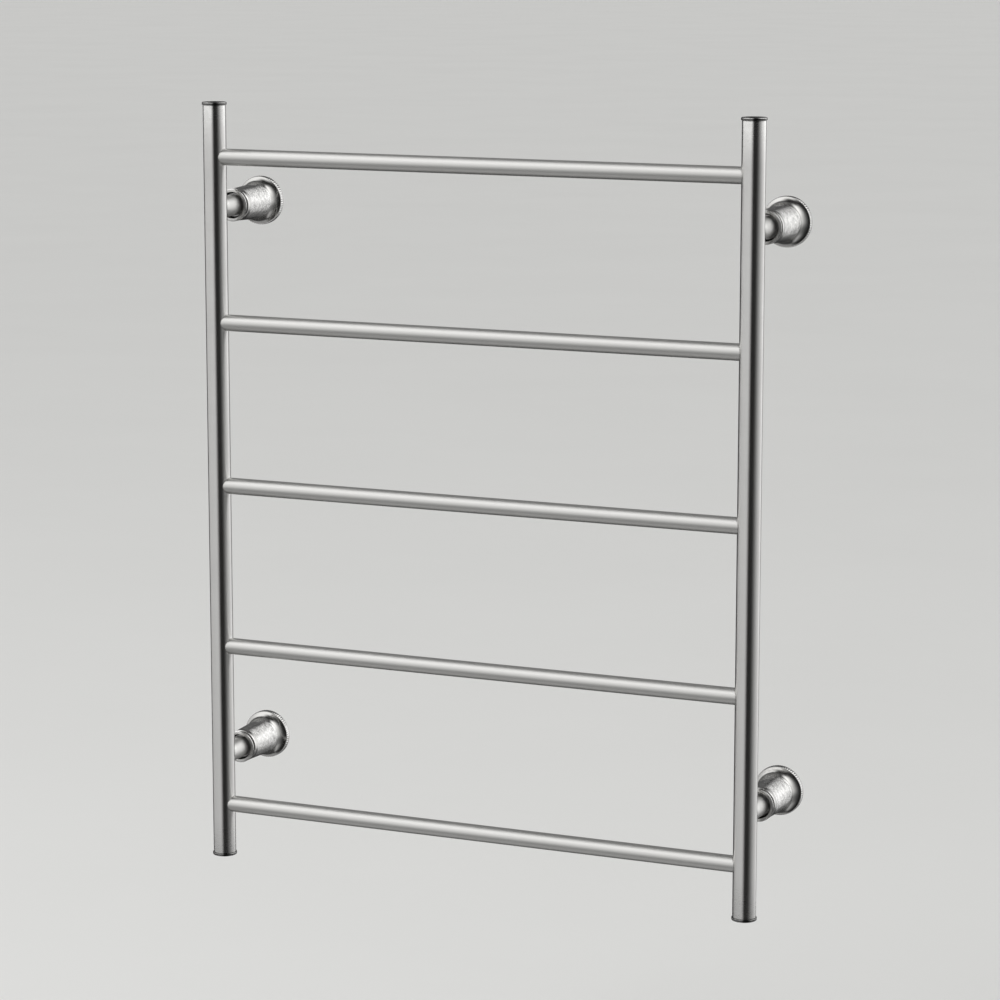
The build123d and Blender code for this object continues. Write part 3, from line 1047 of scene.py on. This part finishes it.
            # Painted shade: the rim by the wall gets a low crest value and is painted darker.
            vert[crest] = 0.15 if height > self.rim_at + 0.3 else 1.0
            column = round(math.atan2(vert.co.y, vert.co.x) / half_tooth)
            row = round((height - self.band_end) / row_height)
            inside = 0 < row < len(rows) - 1 and abs(height - rows[row]) < 0.05
            if inside and abs(out - self._barrel_at(height)) < 0.01 and (row + column) % 2:
                self._sink(vert, self.knurl_depth)
                # Painted shade in the knurl's valleys.
                vert[crest] = 0.0
                low_verts.add(vert)
            if abs(out - self.rim) < 0.15 and self.rim_at + 0.1 < height < self.wall_at - 0.1 and column % 2:
                self._sink(vert, self.rim_tooth)
                # Painted shade in the rim's tooth valleys.
                vert[crest] = 0.0
        for face in list(mesh.faces):
            corners = [vert for vert in face.verts if vert in low_verts]
            if len(face.verts) == 4 and len(corners) == 2:
                bmesh.utils.face_split(face, corners[0], corners[1])

    @staticmethod
    def _sink(vert: bmesh.types.BMVert, depth: float) -> None:
        """Move a vertex towards the axis by a depth in millimetres."""
        out = math.hypot(vert.co.x, vert.co.y)
        scale = (out - depth * MM) / out
        vert.co.x *= scale
        vert.co.y *= scale


@dataclass
class InnerParts:
    """Parts kept as their own frame nodes, each dressed in a finish of its own."""

    finishes: dict[str, Plain] = field(
        default_factory=lambda: {
            "wall_base_": BASE_METAL,
            "o_ring_": SEAL_RUBBER,
            "retaining_ring_": SPRING_STEEL,
            "arm_grub_screws": SCREW_STEEL,
            "heating_cable": CABLE_SILICONE,
            "cable_guides": GUIDE_SILICONE,
            "cable_end_seal": GUIDE_SILICONE,
            "terminal_block": CERAMIC,
            "terminal_screws": BRASS,
            "earth_strip": BRASS,
            "thermal_cutout": CUTOUT_CASE,
            "cable_grommet": SEAL_RUBBER,
        }
    )

    def dress(self) -> None:
        """Give every kept node its material."""
        for name, node in sorted(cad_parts.items()):
            for start, finish in self.finishes.items():
                if name.startswith(start):
                    node.data.materials.clear()
                    node.data.materials.append(finish.material())
                    LOG.info("%s: dressed in %s", name, finish.name)


# ---------------------------------------------------------------- studio
@dataclass(frozen=True)
class Band:
    """One level of a softbox: its lower and upper edges in degrees, their fades and its strength."""

    low: float
    low_fade: float
    high: float
    high_fade: float
    strength: float


@dataclass(frozen=True)
class Softbox:
    """A soft light in the surroundings, by the directions in which it is seen.

    Attributes:
        left: Compass of its left edge, in degrees to the right of straight in front of the rack.
        left_fade: Width of its soft left edge.
        right: Compass of its right edge.
        right_fade: Width of its soft right edge.
        strength: Brightness over all its bands.
        bands: Its levels from the floor upwards.
    """

    left: float
    left_fade: float
    right: float
    right_fade: float
    strength: float
    bands: tuple[Band, ...]

    def add_to(
        self,
        tree: bpy.types.NodeTree,
        compass: bpy.types.NodeSocket,
        elevation: bpy.types.NodeSocket,
        total: bpy.types.NodeSocket,
    ) -> bpy.types.NodeSocket:
        """Add this softbox's light to a running total.

        Args:
            tree: The world's node tree.
            compass: Compass direction, in degrees.
            elevation: Elevation, in degrees.
            total: The light so far.

        Returns:
            The new total.
        """
        across = math_of(
            tree,
            "MULTIPLY",
            fade(tree, compass, self.left - self.left_fade / 2, self.left + self.left_fade / 2),
            fade(tree, compass, self.right + self.right_fade / 2, self.right - self.right_fade / 2),
        )
        for band in self.bands:
            above = fade(tree, elevation, band.low - band.low_fade / 2, band.low + band.low_fade / 2)
            below = fade(tree, elevation, band.high + band.high_fade / 2, band.high - band.high_fade / 2)
            seen = math_of(tree, "MULTIPLY", across, math_of(tree, "MULTIPLY", above, below))
            total = math_of(tree, "MULTIPLY_ADD", seen, band.strength * self.strength, total)
        return total


def fade(
    tree: bpy.types.NodeTree, value: bpy.types.NodeSocket, dark: float, bright: float
) -> bpy.types.NodeSocket:
    """A smooth step from 0 at one value to 1 at another.

    Args:
        tree: The node tree.
        value: What is compared.
        dark: Value at which the step is 0.
        bright: Value at which it is 1.

    Returns:
        The step's output.
    """
    step = node_of(tree, "ShaderNodeMapRange", interpolation_type="SMOOTHSTEP")
    step.inputs["From Min"].default_value = dark
    step.inputs["From Max"].default_value = bright
    tree.links.new(value, step.inputs["Value"])
    return step.outputs[0]


LEVELS = (
    Band(-85.0, 10.0, -46.0, 8.0, 0.55),
    Band(-46.0, 8.0, 66.0, 24.0, 0.27),
    Band(-11.0, 30.0, 66.0, 24.0, 0.95),
    Band(26.0, 36.0, 66.0, 20.0, 0.8),
)


@dataclass
class Studio:
    """Camera, pale floor, soft key light and the panels that the metal reflects."""

    camera_place: tuple[float, float, float] = (1.3231, -3.0166, 0.5766)
    camera_tilt: float = 79.890
    camera_turn: float = 23.956
    lens: float = 123.753
    floor_drop: float = 0.30
    backdrop: tuple[float, float, float] = (0.80, 0.80, 0.79)
    softboxes: tuple[Softbox, ...] = (
        Softbox(-108.0, 10.0, 5.0, 34.0, 1.03, LEVELS),
        Softbox(99.0, 102.0, 158.0, 40.0, 1.4, LEVELS),
        Softbox(-176.0, 8.0, -120.0, 20.0, 0.1, LEVELS),
        Softbox(142.0, 14.0, 178.0, 8.0, 0.6, (Band(-20.0, 6.0, 28.0, 6.0, 0.85), Band(-80.0, 10.0, 80.0, 10.0, 0.2))),
    )
    fill: float = 0.025

    def build(self) -> None:
        """Build the whole studio."""
        self._camera()
        self._floor()
        self._key_light()
        self._surroundings()
        bpy.context.scene.view_settings.view_transform = "Standard"

    def _camera(self) -> None:
        """The camera."""
        data = bpy.data.cameras.new("camera")
        data.lens = self.lens
        data.sensor_width = 36.0
        data.clip_end = 200.0
        camera = bpy.data.objects.new("camera", data)
        camera.location = self.camera_place
        camera.rotation_euler = (math.radians(self.camera_tilt), 0.0, math.radians(self.camera_turn))
        bpy.context.scene.collection.objects.link(camera)
        bpy.context.scene.camera = camera

    def _floor(self) -> None:
        """A wide pale floor below the rack, left out of the metal's reflections."""
        low, _ = Vector(CAD_BOX[0]), Vector(CAD_BOX[1])
        mesh = bmesh.new()
        bmesh.ops.create_grid(mesh, x_segments=8, y_segments=8, size=60.0)
        bmesh.ops.translate(mesh, verts=mesh.verts[:], vec=(0, 0, low.z - self.floor_drop))
        floor = scratch_object("floor", mesh)
        floor.visible_glossy = False
        floor.data.materials.append(Plain("pale_floor", self.backdrop, 0.85, 0.0, 0.6, 0.02).material())

    def _key_light(self) -> None:
        """A large soft light from the upper left, for the floor and the matt parts."""
        data = bpy.data.lights.new("key", "AREA")
        data.shape = "RECTANGLE"
        data.size = 2.4
        data.size_y = 1.6
        data.energy = 60.0
        light = bpy.data.objects.new("key", data)
        light.location = (-2.2, -2.6, 2.6)
        aim = Vector((0, 0, 0)) - light.location
        light.rotation_euler = aim.to_track_quat("-Z", "Y").to_euler()
        light.visible_glossy = False
        bpy.context.scene.collection.objects.link(light)

    def _surroundings(self) -> None:
        """World whose panels are seen only in reflections, and an even light for all else."""
        world = bpy.data.worlds.new("studio")
        world.use_nodes = True
        bpy.context.scene.world = world
        tree = world.node_tree
        tree.nodes.clear()
        coords = node_of(tree, "ShaderNodeTexCoord")
        parts = node_of(tree, "ShaderNodeSeparateXYZ")
        tree.links.new(coords.outputs["Generated"], parts.inputs[0])
        front = math_of(tree, "MULTIPLY", parts.outputs[1], -1.0)
        compass = math_of(tree, "DEGREES", math_of(tree, "ARCTAN2", parts.outputs[0], front))
        elevation = math_of(tree, "DEGREES", math_of(tree, "ARCSINE", parts.outputs[2]))
        total = math_of(tree, "ADD", self.fill, 0.0)
        for softbox in self.softboxes:
            total = softbox.add_to(tree, compass, elevation, total)
        reflected = node_of(tree, "ShaderNodeBackground")
        tree.links.new(total, reflected.inputs["Strength"])
        even = node_of(tree, "ShaderNodeBackground")
        even.inputs["Color"].default_value = (0.9, 0.9, 0.89, 1.0)
        even.inputs["Strength"].default_value = 0.8
        path = node_of(tree, "ShaderNodeLightPath")
        mix = node_of(tree, "ShaderNodeMixShader")
        sink = node_of(tree, "ShaderNodeOutputWorld")
        tree.links.new(path.outputs["Is Glossy Ray"], mix.inputs["Fac"])
        tree.links.new(even.outputs[0], mix.inputs[1])
        tree.links.new(reflected.outputs[0], mix.inputs[2])
        tree.links.new(mix.outputs[0], sink.inputs["Surface"])


def main() -> None:
    """Build the studio and the rack, one class after another."""
    logging.basicConfig(level=logging.INFO, format="%(name)s: %(message)s")
    Studio().build()
    levels = []
    count = 5
    for number in range(1, count + 1):
        low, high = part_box(f"rung_{number}")
        levels.append((low.z + high.z) / 2 / MM)
    posts = Posts()
    low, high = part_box("arm_lower_right")
    posts.build(levels, (low.z + high.z) / 2 / MM)
    Rungs().build(count, posts)
    EndCaps().build()
    for corner in Corner:
        Bracket(corner).build()
    InnerParts().dress()


if __name__ == "__main__":
    main()
